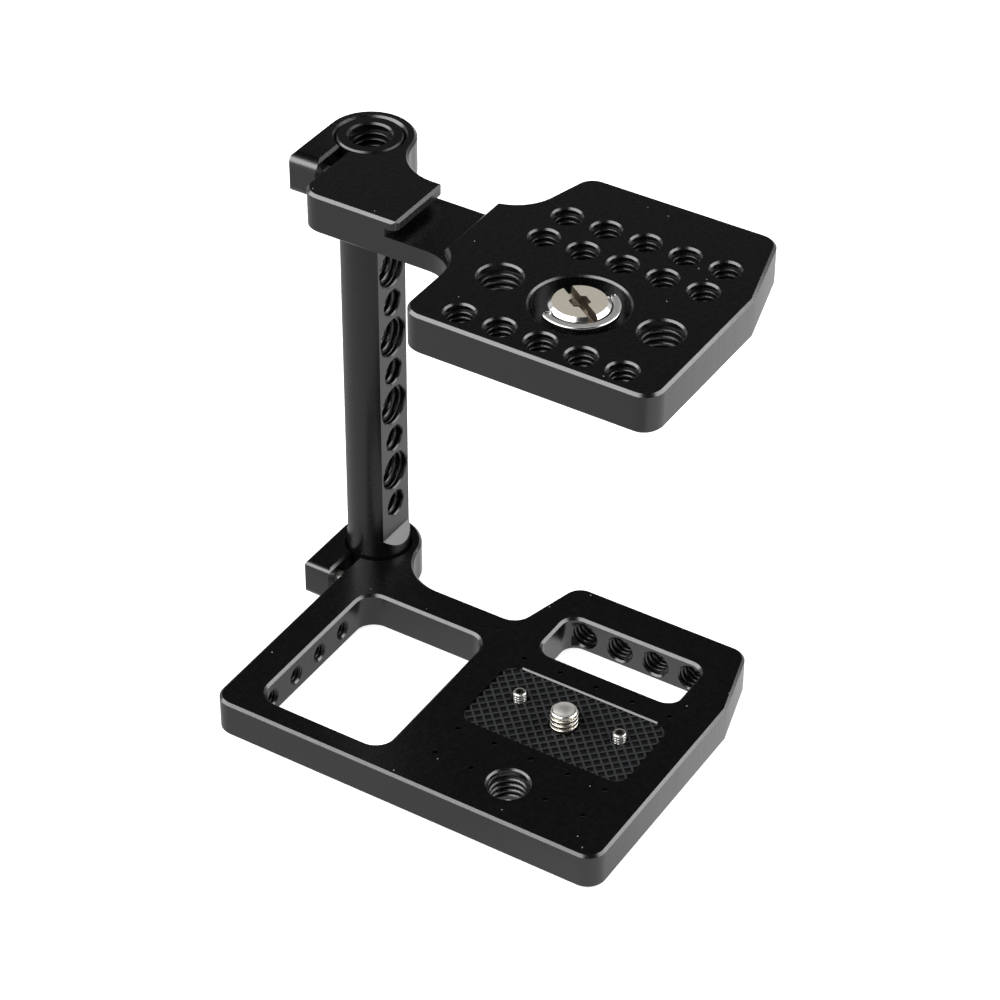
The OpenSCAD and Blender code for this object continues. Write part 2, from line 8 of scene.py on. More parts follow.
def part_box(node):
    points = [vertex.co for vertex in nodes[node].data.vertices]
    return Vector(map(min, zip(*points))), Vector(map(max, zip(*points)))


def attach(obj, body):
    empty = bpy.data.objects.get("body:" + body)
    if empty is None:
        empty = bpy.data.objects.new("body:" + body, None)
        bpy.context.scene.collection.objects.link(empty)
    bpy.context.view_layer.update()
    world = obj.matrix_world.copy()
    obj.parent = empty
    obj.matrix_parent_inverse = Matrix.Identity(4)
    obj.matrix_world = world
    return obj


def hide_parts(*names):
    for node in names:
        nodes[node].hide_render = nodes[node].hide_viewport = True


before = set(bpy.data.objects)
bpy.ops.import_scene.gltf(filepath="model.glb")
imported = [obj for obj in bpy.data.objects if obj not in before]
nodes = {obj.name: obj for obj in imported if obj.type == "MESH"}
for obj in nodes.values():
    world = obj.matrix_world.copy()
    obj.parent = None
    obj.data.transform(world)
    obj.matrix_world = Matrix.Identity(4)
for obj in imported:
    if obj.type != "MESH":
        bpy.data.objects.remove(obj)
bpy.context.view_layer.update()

# Camera. It stands in front and to the right of the cage and looks down on it through a long
# lens, so that the plates' edges stay nearly parallel.
camera_place = Vector((0.3435, -0.5058, 0.4931))
turned_to_left, tipped_up, rolled = 31.467, 52.337, 0.432  # degrees
lens = bpy.data.cameras.new("camera")
lens.sensor_width = 36.0
lens.lens = 117.08
camera = bpy.data.objects.new("camera", lens)
camera.matrix_world = (Matrix.Translation(camera_place)
                       @ Matrix.Rotation(math.radians(turned_to_left), 4, "Z")
                       @ Matrix.Rotation(math.radians(tipped_up), 4, "X")
                       @ Matrix.Rotation(math.radians(rolled), 4, "Z"))
bpy.context.scene.collection.objects.link(camera)
bpy.context.scene.camera = camera
bpy.context.scene.view_settings.view_transform = "Standard"


# Studio. A white table, and a dark room above it with two long soft boxes: one from the left to
# above the front, which draws the front chamfers, and one on the right, which draws the right ones.
def colour(code):
    """An sRGB hex code as a linear colour."""
    parts = [int(code[i:i + 2], 16) / 255 for i in (1, 3, 5)]
    return (*[p / 12.92 if p <= 0.04045 else ((p + 0.055) / 1.055) ** 2.4 for p in parts], 1.0)


def add(tree, kind, inputs=None, **settings):
    """Adds a node. An input is a plain value, or the output of another node."""
    made = tree.nodes.new(kind)
    for name, value in settings.items():
        setattr(made, name, value)
    for name, value in (inputs or {}).items():
        if isinstance(value, bpy.types.NodeSocket):
            tree.links.new(value, made.inputs[name])
        else:
            made.inputs[name].default_value = value
    return made


WHITE = (1.0, 1.0, 1.0, 1.0)
world = bpy.data.worlds.new("room")
bpy.context.scene.world = world
world.use_nodes = True
room = world.node_tree
room.nodes.clear()
direction = add(room, "ShaderNodeTexCoord").outputs["Generated"]
height = add(room, "ShaderNodeSeparateXYZ", {"Vector": direction}).outputs["Z"]
# pale near the horizon, then darker and darker, as in a dark room with a low white sweep
fall = add(room, "ShaderNodeValToRGB", {"Fac": height})
fall.color_ramp.elements[0].position = 0.16
fall.color_ramp.elements[0].color = colour("#dcdcdc")
fall.color_ramp.elements[1].position = 0.64
fall.color_ramp.elements[1].color = colour("#121213")
fall.color_ramp.elements.new(0.36).color = colour("#5c5c5e")
rays = add(room, "ShaderNodeLightPath")
shown = add(room, "ShaderNodeMix", {"Factor": rays.outputs["Is Camera Ray"], "A": fall.outputs["Color"],
                                    "B": WHITE}, data_type="RGBA")
glow = add(room, "ShaderNodeBackground", {"Color": shown.outputs["Result"], "Strength": 1.0})
add(room, "ShaderNodeOutputWorld", {"Surface": glow.outputs["Background"]})

table = bpy.data.materials.new("table_white_laminate")
table.use_nodes = True
tree = table.node_tree
tree.nodes.clear()
lit = add(tree, "ShaderNodeBsdfDiffuse", {"Color": colour("#f2f2f2")})
lift = add(tree, "ShaderNodeEmission", {"Color": WHITE, "Strength": 0.80})
both = add(tree, "ShaderNodeAddShader", {0: lit.outputs[0], 1: lift.outputs[0]})
rays = add(tree, "ShaderNodeLightPath")
seen = add(tree, "ShaderNodeMixShader", {0: rays.outputs["Is Camera Ray"], 1: lit.outputs[0],
                                         2: both.outputs[0]})
# painted reflection: in mirror rays the table glows white, and the glow fades over 50 mm, from the back
# right to a pale grey at the front left
place = add(tree, "ShaderNodeTexCoord").outputs["Object"]
to_back_right = (0.67, 0.74, 0.0)
reflection_fade = add(tree, "ShaderNodeVectorMath", {0: place, 1: to_back_right}, operation="DOT_PRODUCT")
level = add(tree, "ShaderNodeMapRange", {"Value": reflection_fade.outputs["Value"], "From Min": -0.01,
                                         "From Max": 0.04, "To Min": 0.58, "To Max": 1.0})
painted_reflection_glow = add(tree, "ShaderNodeEmission", {"Color": WHITE, "Strength": level.outputs["Result"]})
shown = add(tree, "ShaderNodeMixShader", {0: rays.outputs["Is Glossy Ray"], 1: seen.outputs[0],
                                          2: painted_reflection_glow.outputs[0]})
# from below the table is clear, so that the cage's underside can be looked at
below = add(tree, "ShaderNodeNewGeometry").outputs["Backfacing"]
clear = add(tree, "ShaderNodeBsdfTransparent")
whole = add(tree, "ShaderNodeMixShader", {0: below, 1: shown.outputs[0], 2: clear.outputs[0]})
add(tree, "ShaderNodeOutputMaterial", {"Surface": whole.outputs[0]})

bpy.ops.mesh.primitive_plane_add(size=12.0, location=(0.0, 0.0, -0.0002))
floor = bpy.context.object
floor.name = "floor"
floor.data.materials.append(table)

cage_middle = Vector((0.045, -0.03, 0.05))
box_distance = 1.15
# the two ends of each box as directions from the cage, how far it then stands to the side and how wide
# it is, in metres, and its power in watts
for name, start, end, aside, width, power in (
        ("soft_box_left", (-0.93, -0.12, 0.34), (0.10, -0.61, 0.79), -0.08, 0.48, 13.8),
        ("soft_box_right", (0.49, 0.80, 0.29), (0.70, 0.02, 0.71), 0.09, 0.42, 7.8)):
    ends = [Vector(start).normalized() * box_distance, Vector(end).normalized() * box_distance]
    middle = (ends[0] + ends[1]) / 2
    lamp = bpy.data.lights.new(name, "AREA")
    lamp.shape = "RECTANGLE"
    lamp.size = (ends[1] - ends[0]).length
    lamp.size_y = width
    lamp.energy = power
    box = bpy.data.objects.new(name, lamp)
    along = (ends[1] - ends[0]).normalized()
    backwards = middle.normalized()
    across = backwards.cross(along)
    turn = Matrix((along, across, backwards)).transposed().to_4x4()
    box.matrix_world = Matrix.Translation(cage_middle + middle + across * aside) @ turn
    bpy.context.scene.collection.objects.link(box)


# Base plate and upper plate. Each is milled from one block of aluminium, then anodised satin
# black. The clear oxide over the dye shines like a thin lacquer, faces show no more than faint
# tracks of the side mill, and some dust lies on the flat tops.
MM = 0.001  # object coordinates are in metres, the sizes below in mm


def corners(node):
    """The lowest and the highest corner of a CAD node at rest, in mm."""
    return [[round(value / MM, 2) for value in corner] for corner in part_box(node)]


PLATE = corners("base_plate")[1][2]          # thickness of both plates
UPPER_TOP = corners("upper_plate")[1][2]     # level of the upper plate's top, and of the rod's


def anodised(name, tracks_along_z, index):
    """Black anodised aluminium. Its dyed oxide mirrors like a clear solid, not like bare metal."""
    material = bpy.data.materials.new(name)
    material.use_nodes = True
    tree = material.node_tree
    tree.nodes.clear()
    place = add(tree, "ShaderNodeTexCoord").outputs["Object"]
    facing = add(tree, "ShaderNodeNewGeometry").outputs["Normal"]
    up = add(tree, "ShaderNodeSeparateXYZ", {"Vector": facing}).outputs["Z"]
    # tracks of the cutter, 0.6 mm apart: long along the tool's axis, or round the turned rod
    stretch = (1.0, 1.0, 0.04) if tracks_along_z else (0.04, 0.04, 1.0)
    along = add(tree, "ShaderNodeMapping", {"Vector": place, "Scale": stretch}).outputs["Vector"]
    tracks = add(tree, "ShaderNodeTexNoise", {"Vector": along, "Scale": 1 / (1.2 * MM), "Detail": 3.0,
                                              "Roughness": 0.55})
    # the matt grain of the etched surface, drawn at 0.12 mm, coarser than it is, so that it shows
    grain = add(tree, "ShaderNodeTexNoise", {"Vector": place, "Scale": 1 / (0.12 * MM), "Detail": 2.0})
    # sides show the tracks more than the tops, which the face mill left smooth
    side = add(tree, "ShaderNodeMath", {0: up}, operation="ABSOLUTE").outputs[0]
    share = add(tree, "ShaderNodeMapRange", {"Value": side, "From Min": 0.3, "From Max": 0.9, "To Min": 1.0,
                                             "To Max": 0.15}).outputs["Result"]
    heightened = add(tree, "ShaderNodeMath", {0: tracks.outputs["Fac"], 1: share}, operation="MULTIPLY")
    ripple = add(tree, "ShaderNodeBump", {"Height": heightened.outputs[0], "Strength": 0.35,
                                          "Distance": 0.01 * MM})
    texture = add(tree, "ShaderNodeBump", {"Height": grain.outputs["Fac"], "Strength": 0.25,
                                           "Distance": 0.004 * MM, "Normal": ripple.outputs["Normal"]})
    gloss = add(tree, "ShaderNodeMapRange", {"Value": tracks.outputs["Fac"], "From Min": 0.3,
                                             "From Max": 0.7, "To Min": 0.24, "To Max": 0.29})
    # dust: one speck of 0.3 mm in some of the 3 mm cells, on what faces up
    cells = add(tree, "ShaderNodeTexVoronoi", {"Vector": place, "Scale": 1 / (3.0 * MM)})
    dot = add(tree, "ShaderNodeMath", {0: cells.outputs["Distance"], 1: 0.048}, operation="LESS_THAN")
    some = add(tree, "ShaderNodeSeparateColor", {"Color": cells.outputs["Color"]}).outputs["Red"]
    chosen = add(tree, "ShaderNodeMath", {0: some, 1: 0.6}, operation="GREATER_THAN")
    top = add(tree, "ShaderNodeMath", {0: up, 1: 0.95}, operation="GREATER_THAN")
    dust = add(tree, "ShaderNodeMath", {0: dot.outputs[0], 1: chosen.outputs[0]}, operation="MULTIPLY")
    dust = add(tree, "ShaderNodeMath", {0: dust.outputs[0], 1: top.outputs[0]}, operation="MULTIPLY")
    tone = add(tree, "ShaderNodeMix", {"Factor": dust.outputs[0], "A": colour("#070708"),
                                       "B": colour("#b4b4b0")}, data_type="RGBA")
    shell = add(tree, "ShaderNodeBsdfPrincipled", {"Base Color": tone.outputs["Result"], "Metallic": 0.0,
                                                   "Roughness": gloss.outputs["Result"], "IOR": index,
                                                   "Normal": texture.outputs["Normal"]})
    add(tree, "ShaderNodeOutputMaterial", {"Surface": shell.outputs[0]})
    return material


def merged_copy(name, node):
    """A closed copy of a CAD node's mesh, whose own triangles are loose, without its stored normals."""
    whole = bmesh.new()
    whole.from_mesh(nodes[node].data)
    bmesh.ops.remove_doubles(whole, verts=whole.verts, dist=0.0005 * MM)
    mesh = bpy.data.meshes.new(name)
    whole.to_mesh(mesh)
    whole.free()
    if "custom_normal" in mesh.attributes:
        mesh.attributes.remove(mesh.attributes["custom_normal"])
    made = bpy.data.objects.new(name, mesh)
    bpy.context.scene.collection.objects.link(made)
    return made


def prisms(name, parts, turn=0.0):
    """Closed prisms along X, then turned about Z. Each has two ends and an outline in Y and Z, in mm."""
    shape = bmesh.new()
    for start, end, outline in parts:
        near = [shape.verts.new((start * MM, y * MM, z * MM)) for y, z in outline]
        far = [shape.verts.new((end * MM, y * MM, z * MM)) for y, z in outline]
        shape.faces.new(near)
        shape.faces.new(far[::-1])
        for n in range(len(outline)):
            m = (n + 1) % len(outline)
            shape.faces.new((near[n], far[n], far[m], near[m]))
    shape.transform(Matrix.Rotation(turn, 4, "Z"))
    bmesh.ops.recalc_face_normals(shape, faces=shape.faces)
    mesh = bpy.data.meshes.new(name)
    shape.to_mesh(mesh)
    shape.free()
    made = bpy.data.objects.new(name, mesh)
    bpy.context.scene.collection.objects.link(made)
    return made


def milled(node, body, material, cutter):
    """A copy of a CAD node with small cuts more, which replaces it."""
    made = merged_copy(node + "_milled", node)
    made.data.materials.clear()
    made.data.materials.append(material)
    cutter.data.materials.append(material)
    cut = made.modifiers.new("cut", "BOOLEAN")
    cut.operation = "DIFFERENCE"
    cut.solver = "EXACT"
    cut.object = cutter
    bpy.context.view_layer.update()
    mesh = bpy.data.meshes.new_from_object(made.evaluated_get(bpy.context.evaluated_depsgraph_get()))
    made.modifiers.clear()
    made.data = mesh
    bpy.data.objects.remove(cutter)
    mesh.shade_smooth()
    mesh.set_sharp_from_angle(angle=math.radians(30))
    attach(made, body)
    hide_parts(node)


plate_black = anodised("satin_black_anodised_milled", True, 1.7)
# a chamfer along the rear edge of the pad's pocket
pocket_left, pocket_right, pocket_wall = 53.7, 89.1, -22.16
chamfer, over = 0.39, 0.1
pocket_edge = [(pocket_wall, PLATE - chamfer), (pocket_wall + chamfer + over, PLATE + over),
               (pocket_wall, PLATE + over)]
milled("base_plate", "base", plate_black,
       prisms("cutter", [(pocket_left, pocket_right, pocket_edge)]))
# a larger rounding along the upper front edge of the upper clamp's ear
ear_left, ear_right, ear_front = -14.0, -1.8, -16.9
ear_round, clear_of_ear = 3.4, 1.6
round_y, round_z = ear_front + ear_round, UPPER_TOP - ear_round
arc = [math.radians(90 * n / 24) for n in range(25)]
ear_edge = [(round_y - (ear_round + 0.01) * math.sin(a), round_z + (ear_round + 0.01) * math.cos(a))
            for a in arc]
ear_edge += [(ear_front - clear_of_ear, round_z), (ear_front - clear_of_ear, UPPER_TOP + 1.7),
             (round_y, UPPER_TOP + 1.7)]
milled("upper_plate", "upper", plate_black,
       prisms("cutter", [(ear_left, ear_right, ear_edge)]))


# Rod. It is turned from a round bar and has the same black anodising, a little duller. Its grooves
# run round it, too fine to see one by one. Two flats carry the threaded side holes.
rod_black = anodised("satin_black_anodised_turned", False, 1.6)
FLAT = 5.05           # from the rod's axis to each flat
ROUND_END = 14.5      # length of the rod's round ends
# each flat ends in a ramp at 45 degrees, which the cutter left
past_rod = 7.8
ramps = []
for side in (-1, 1):
    for level, beyond in ((ROUND_END, -1), (UPPER_TOP - ROUND_END, 1)):
        outline = [(FLAT + 0.01, level + beyond * 0.01), (past_rod, level + beyond * (past_rod - FLAT)),
                   (past_rod, level - beyond * 0.5), (FLAT + 0.25, level - beyond * 0.5)]
        ramps.append((-8.0, 8.0, [(side * x, z) for x, z in outline]))
milled("rod", "rod", rod_black, prisms("cutter", ramps, math.pi / 2))


# Threads in the holes. Each is cut by a tap, so a ridge winds round the wall of the hole. Its
# crest is a narrow flat that catches the light, and it runs out at both ends of the hole.
def ridge_tree():
    """The ridges of like threaded holes: one helix, set down at each hole's mouth."""
    tree = bpy.data.node_groups.new("tapped ridges", "GeometryNodeTree")
    for name, kind in (("Mouths", "Geometry"), ("Radius", "Float"), ("Pitch", "Float"), ("Depth", "Float"),
                       ("Turns", "Float"), ("Finish", "Material")):
        tree.interface.new_socket(name, in_out="INPUT", socket_type="NodeSocket" + kind)
    tree.interface.new_socket("Ridges", in_out="OUTPUT", socket_type="NodeSocketGeometry")
    given = add(tree, "NodeGroupInput").outputs
    rise = add(tree, "ShaderNodeMath", {0: given["Pitch"], 1: given["Turns"]}, operation="MULTIPLY")
    # the spiral is not reversed, so it winds to the left, where a real thread winds to the right
    helix = add(tree, "GeometryNodeCurveSpiral", {
        "Resolution": 28, "Rotations": given["Turns"], "Start Radius": given["Radius"],
        "End Radius": given["Radius"], "Height": rise.outputs[0], "Reverse": False})
    upright = add(tree, "GeometryNodeSetCurveNormal", {"Curve": helix.outputs[0]}, mode="Z_UP")
    # the ridge is a sixty-degree form with a flat crest, drawn from the wall inwards
    corners = []
    for reach, half_width in ((-0.1, -0.46), (1.0, -0.09), (1.0, 0.09), (-0.1, 0.46)):
        inwards = add(tree, "ShaderNodeMath", {0: given["Depth"], 1: reach}, operation="MULTIPLY")
        beside = add(tree, "ShaderNodeMath", {0: given["Pitch"], 1: half_width}, operation="MULTIPLY")
        corners.append(add(tree, "ShaderNodeCombineXYZ", {"X": inwards.outputs[0], "Y": beside.outputs[0]}))
    form = add(tree, "GeometryNodeCurvePrimitiveQuadrilateral",
               {f"Point {n + 1}": corner.outputs[0] for n, corner in enumerate(corners)}, mode="POINTS")
    # the crest's corners are broken, which shows as thin bright lines
    broken = add(tree, "ShaderNodeMath", {0: given["Pitch"], 1: 0.07}, operation="MULTIPLY")
    rounded = add(tree, "GeometryNodeFilletCurve", {"Curve": form.outputs[0], "Count": 2,
                                                    "Radius": broken.outputs[0]}, mode="POLY")
    # it sinks into the wall over three quarters of a turn at either end
    along = add(tree, "GeometryNodeSplineParameter").outputs["Factor"]
    from_end = add(tree, "ShaderNodeMath", {0: 1.0, 1: along}, operation="SUBTRACT")
    nearest = add(tree, "ShaderNodeMath", {0: along, 1: from_end.outputs[0]}, operation="MINIMUM")
    turns_in = add(tree, "ShaderNodeMath", {0: nearest.outputs[0], 1: given["Turns"]}, operation="MULTIPLY")
    swell = add(tree, "ShaderNodeMapRange", {"Value": turns_in.outputs[0], "From Max": 0.75,
                                             "To Min": 0.02})
    ridge = add(tree, "GeometryNodeCurveToMesh", {
        "Curve": upright.outputs[0], "Profile Curve": rounded.outputs[0], "Scale": swell.outputs[0],
        "Fill Caps": True})
    into = add(tree, "GeometryNodeInputNamedAttribute", {"Name": "into"}, data_type="FLOAT_VECTOR")
    turned_in = add(tree, "FunctionNodeAlignRotationToVector", {"Vector": into.outputs["Attribute"]},
                    axis="Z")
    placed = add(tree, "GeometryNodeInstanceOnPoints", {
        "Points": given["Mouths"], "Instance": ridge.outputs[0], "Rotation": turned_in.outputs[0]})
    real = add(tree, "GeometryNodeRealizeInstances", {"Geometry": placed.outputs[0]})
    dressed = add(tree, "GeometryNodeSetMaterial", {"Geometry": real.outputs[0],
                                                    "Material": given["Finish"]})
    add(tree, "NodeGroupOutput", {"Ridges": dressed.outputs[0]})
    return tree


ridges = ridge_tree()
QUARTER_RADIUS, QUARTER_PITCH = 3.175, 1.27
QUARTER = {"Radius": QUARTER_RADIUS * MM, "Pitch": QUARTER_PITCH * MM, "Depth": 0.62 * MM}
THREE_EIGHTHS = {"Radius": 4.7625 * MM, "Pitch": 1.5875 * MM, "Depth": 0.78 * MM}
M4 = {"Radius": 2.0 * MM, "Pitch": 0.7 * MM, "Depth": 0.36 * MM}


def made_by(tree, source, values):
    """The plain mesh that a geometry tree makes of a source object, which is then removed."""
    modifier = source.modifiers.new("tree", "NODES")
    modifier.node_group = tree
    for item in tree.interface.items_tree:
        if item.in_out == "INPUT" and item.name in values:
            modifier[item.identifier] = values[item.name]
    bpy.context.view_layer.update()
    result = bpy.data.meshes.new_from_object(source.evaluated_get(bpy.context.evaluated_depsgraph_get()))
    bpy.data.objects.remove(source)
    return result


def tapped(size, depth, into, mouths, finish):
    """Ridges for like holes of one depth. Mouths are the middles of their openings, in mm, and into is the
    direction into the material."""
    points = bpy.data.meshes.new("mouths")
    margin = size["Pitch"] * 0.62
    start = [Vector(m) * MM + Vector(into) * margin for m in mouths]
    points.from_pydata(start, [], [])
    directions = points.attributes.new("into", "FLOAT_VECTOR", "POINT")
    directions.data.foreach_set("vector", list(into) * len(start))
    source = bpy.data.objects.new("mouths", points)
    bpy.context.scene.collection.objects.link(source)
    turns = (depth * MM - 2 * margin) / size["Pitch"]
    return made_by(ridges, source, {**size, "Turns": turns, "Finish": finish})


def joined(name, meshes, smooth_degrees=35):
    """One object of several meshes with their materials, smooth but for the edges past an angle, which may
    be given for each mesh."""
    whole = bmesh.new()
    materials = []
    if not isinstance(smooth_degrees, tuple):
        smooth_degrees = (smooth_degrees,) * len(meshes)
    for mesh, degrees in zip(meshes, smooth_degrees):
        mesh.shade_smooth()
        mesh.set_sharp_from_angle(angle=math.radians(degrees))
        materials += [m for m in mesh.materials if m not in materials]
        for face in mesh.polygons:
            face.material_index = materials.index(mesh.materials[face.material_index])
        whole.from_mesh(mesh)
    mesh = bpy.data.meshes.new(name)
    whole.to_mesh(mesh)
    whole.free()
    for material in materials:
        mesh.materials.append(material)
    made = bpy.data.objects.new(name, mesh)
    bpy.context.scene.collection.objects.link(made)
    return made


def middle_of(node):
    """The middle of a CAD node in X and Y, in mm, where the axis of a round one stands."""
    low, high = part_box(node)
    return tuple(round((low[n] + high[n]) / 2 / MM, 1) for n in (0, 1))


PITCH = 9.5  # of every hole grid
SCREW = middle_of("base_camera_screw")
UPPER_SCREW = middle_of("upper_camera_screw")
DOWN, UP, RIGHT, FRONT = (0, 0, -1), (0, 0, 1), (1, 0, 0), (0, -1, 0)
blind_depth = 8.0
rear_face, rear_depth = corners("base_plate")[1][1], 10.3
rim_wall, rim_depth, first_rim_hole = -0.4, 8.7, -56.5
front_row = SCREW[1] - 2.5 * PITCH
blind = [(SCREW[0] + c * PITCH, SCREW[1] + r * 1.5 * PITCH, 0.0) for c in range(-2, 3) for r in (-1, 1)]
blind += [(SCREW[0] + c * PITCH, front_row, 0.0) for c in (-2, -1, 1, 2)]
base_threads = joined("base_plate_threads", [
    tapped(THREE_EIGHTHS, PLATE, UP, [(SCREW[0], front_row, 0.0)], plate_black),
    tapped(QUARTER, blind_depth, UP, blind, plate_black),
    tapped(QUARTER, rear_depth, FRONT, [(SCREW[0] + c * PITCH / 2, rear_face, PLATE / 2)
                                        for c in (-3, -1, 1, 3)], plate_black),
    tapped(M4, rim_depth, RIGHT, [(rim_wall, first_rim_hole + r * PITCH, PLATE / 2)
                                  for r in range(4)], plate_black)])
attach(base_threads, "base")

rows_from_screw = (-15.5, 17.4, 26.9)
grid = [(UPPER_SCREW[0] + c * PITCH, UPPER_SCREW[1] + y, UPPER_TOP)
        for c in range(-2, 3) for y in rows_from_screw]
upper_threads = joined("upper_plate_threads", [
    tapped(THREE_EIGHTHS, PLATE, DOWN, [(UPPER_SCREW[0] + c * 2 * PITCH, UPPER_SCREW[1], UPPER_TOP)
                                        for c in (-1, 1)], plate_black),
    tapped(QUARTER, PLATE, DOWN, grid, plate_black)])
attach(upper_threads, "upper")

first_side_hole, end_depth = 22.7, 13.0
side_holes = [(-FLAT, 0.0, first_side_hole + n * PITCH) for n in range(9)]
rod_threads = joined("rod_threads", [
    tapped(QUARTER, 2 * FLAT, RIGHT, side_holes[0::2], rod_black),
    tapped(THREE_EIGHTHS, 2 * FLAT, RIGHT, side_holes[1::2], rod_black),
    tapped(THREE_EIGHTHS, end_depth, UP, [(0.0, 0.0, 0.0)], rod_black),
    tapped(THREE_EIGHTHS, end_depth, DOWN, [(0.0, 0.0, UPPER_TOP)], rod_black)])
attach(rod_threads, "rod")


# Grip pad. Black rubber, moulded in a waffle of square pits that stands at 45 degrees to the
# pad, and glued into a pocket so that its ribs end just below the plate's top.
PAD_TOP = corners("grip_pad")[1][2]
PIT_DEPTH = 0.55
rubber = bpy.data.materials.new("moulded_rubber")
rubber.use_nodes = True
tree = rubber.node_tree
tree.nodes.clear()
place = add(tree, "ShaderNodeTexCoord").outputs["Object"]
# fine pores of moulded rubber at 0.15 mm, with greyer bloom here and there
pores = add(tree, "ShaderNodeTexNoise", {"Vector": place, "Scale": 1 / (0.15 * MM), "Detail": 3.0})
bloom = add(tree, "ShaderNodeTexNoise", {"Vector": place, "Scale": 1 / (3.0 * MM), "Detail": 2.0})
bloomed_grey = add(tree, "ShaderNodeMix", {"Factor": bloom.outputs["Fac"], "A": colour("#1c1d1f"),
                                   "B": colour("#2c2e30")}, data_type="RGBA")
# painted shade: below the crests of the ribs, in the pits, the rubber is painted near black, and only the
# crests keep the rubber's grey with its bloom
level = add(tree, "ShaderNodeSeparateXYZ", {"Vector": place}).outputs["Z"]
crest = add(tree, "ShaderNodeMath", {0: level, 1: (PAD_TOP - 0.05) * MM}, operation="GREATER_THAN")
tone = add(tree, "ShaderNodeMix", {"Factor": crest.outputs[0], "A": colour("#0a0a0b"),
                                   "B": bloomed_grey.outputs["Result"]}, data_type="RGBA")
skin = add(tree, "ShaderNodeBump", {"Height": pores.outputs["Fac"], "Strength": 0.2,
                                    "Distance": 0.01 * MM})
body = add(tree, "ShaderNodeBsdfPrincipled", {"Base Color": tone.outputs["Result"], "Roughness": 0.62,
                                              "Normal": skin.outputs["Normal"], "IOR": 1.5})
add(tree, "ShaderNodeOutputMaterial", {"Surface": body.outputs[0]})


def pit_tree():
    """A slab with a grid of square pits, turned by 45 degrees, cut into it."""
    tree = bpy.data.node_groups.new("waffle pits", "GeometryNodeTree")
    for name, kind in (("Slab", "Geometry"), ("Pitch", "Float"), ("Middle", "Vector"), ("Reach", "Float"),
                       ("Above", "Float"), ("Floor", "Float"), ("Depth", "Float"), ("Finish", "Material")):
        tree.interface.new_socket(name, in_out="INPUT", socket_type="NodeSocket" + kind)
    tree.interface.new_socket("Pad", in_out="OUTPUT", socket_type="NodeSocketGeometry")
    given = add(tree, "NodeGroupInput").outputs
    # a pit is cut by a cone of four sides that stands on the pit's floor and ends above the pad
    wide = add(tree, "ShaderNodeMath", {0: given["Above"], 1: math.sqrt(0.5)}, operation="MULTIPLY")
    narrow = add(tree, "ShaderNodeMath", {0: given["Floor"], 1: math.sqrt(0.5)}, operation="MULTIPLY")
    tall = add(tree, "ShaderNodeMath", {0: given["Depth"], 1: 2.0}, operation="MULTIPLY")
    pit = add(tree, "GeometryNodeMeshCone", {"Vertices": 4, "Radius Top": wide.outputs[0],
                                             "Radius Bottom": narrow.outputs[0], "Depth": tall.outputs[0]})
    cells = add(tree, "ShaderNodeMath", {0: given["Reach"], 1: given["Pitch"]}, operation="DIVIDE")
    count = add(tree, "ShaderNodeMath", {0: cells.outputs[0], 1: 1.0}, operation="ADD")
    grid = add(tree, "GeometryNodeMeshGrid", {"Size X": given["Reach"], "Size Y": given["Reach"],
                                              "Vertices X": count.outputs[0],
                                              "Vertices Y": count.outputs[0]})
    turned = add(tree, "GeometryNodeTransform", {"Geometry": grid.outputs["Mesh"],
                                                 "Translation": given["Middle"],
                                                 "Rotation": (0.0, 0.0, math.radians(45))})
    pits = add(tree, "GeometryNodeInstanceOnPoints", {"Points": turned.outputs[0],
                                                      "Instance": pit.outputs["Mesh"]})
    real = add(tree, "GeometryNodeRealizeInstances", {"Geometry": pits.outputs[0]})
    cut = add(tree, "GeometryNodeMeshBoolean", {"Mesh 1": given["Slab"], "Mesh 2": real.outputs[0]},
              operation="DIFFERENCE", solver="EXACT")
    dressed = add(tree, "GeometryNodeSetMaterial", {"Geometry": cut.outputs["Mesh"],
                                                    "Material": given["Finish"]})
    add(tree, "NodeGroupOutput", {"Pad": dressed.outputs[0]})
    return tree


waffle = made_by(pit_tree(), merged_copy("slab", "grip_pad"), {
    "Pitch": 2.0 * MM, "Middle": (SCREW[0] * MM, SCREW[1] * MM, (PAD_TOP - PIT_DEPTH) * MM),
    "Reach": 48 * MM, "Above": 1.68 * MM, "Floor": 1.40 * MM, "Depth": PIT_DEPTH * MM, "Finish": rubber})
pad = joined("grip_pad_waffle", [waffle], 5)
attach(pad, "base")
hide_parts("grip_pad")


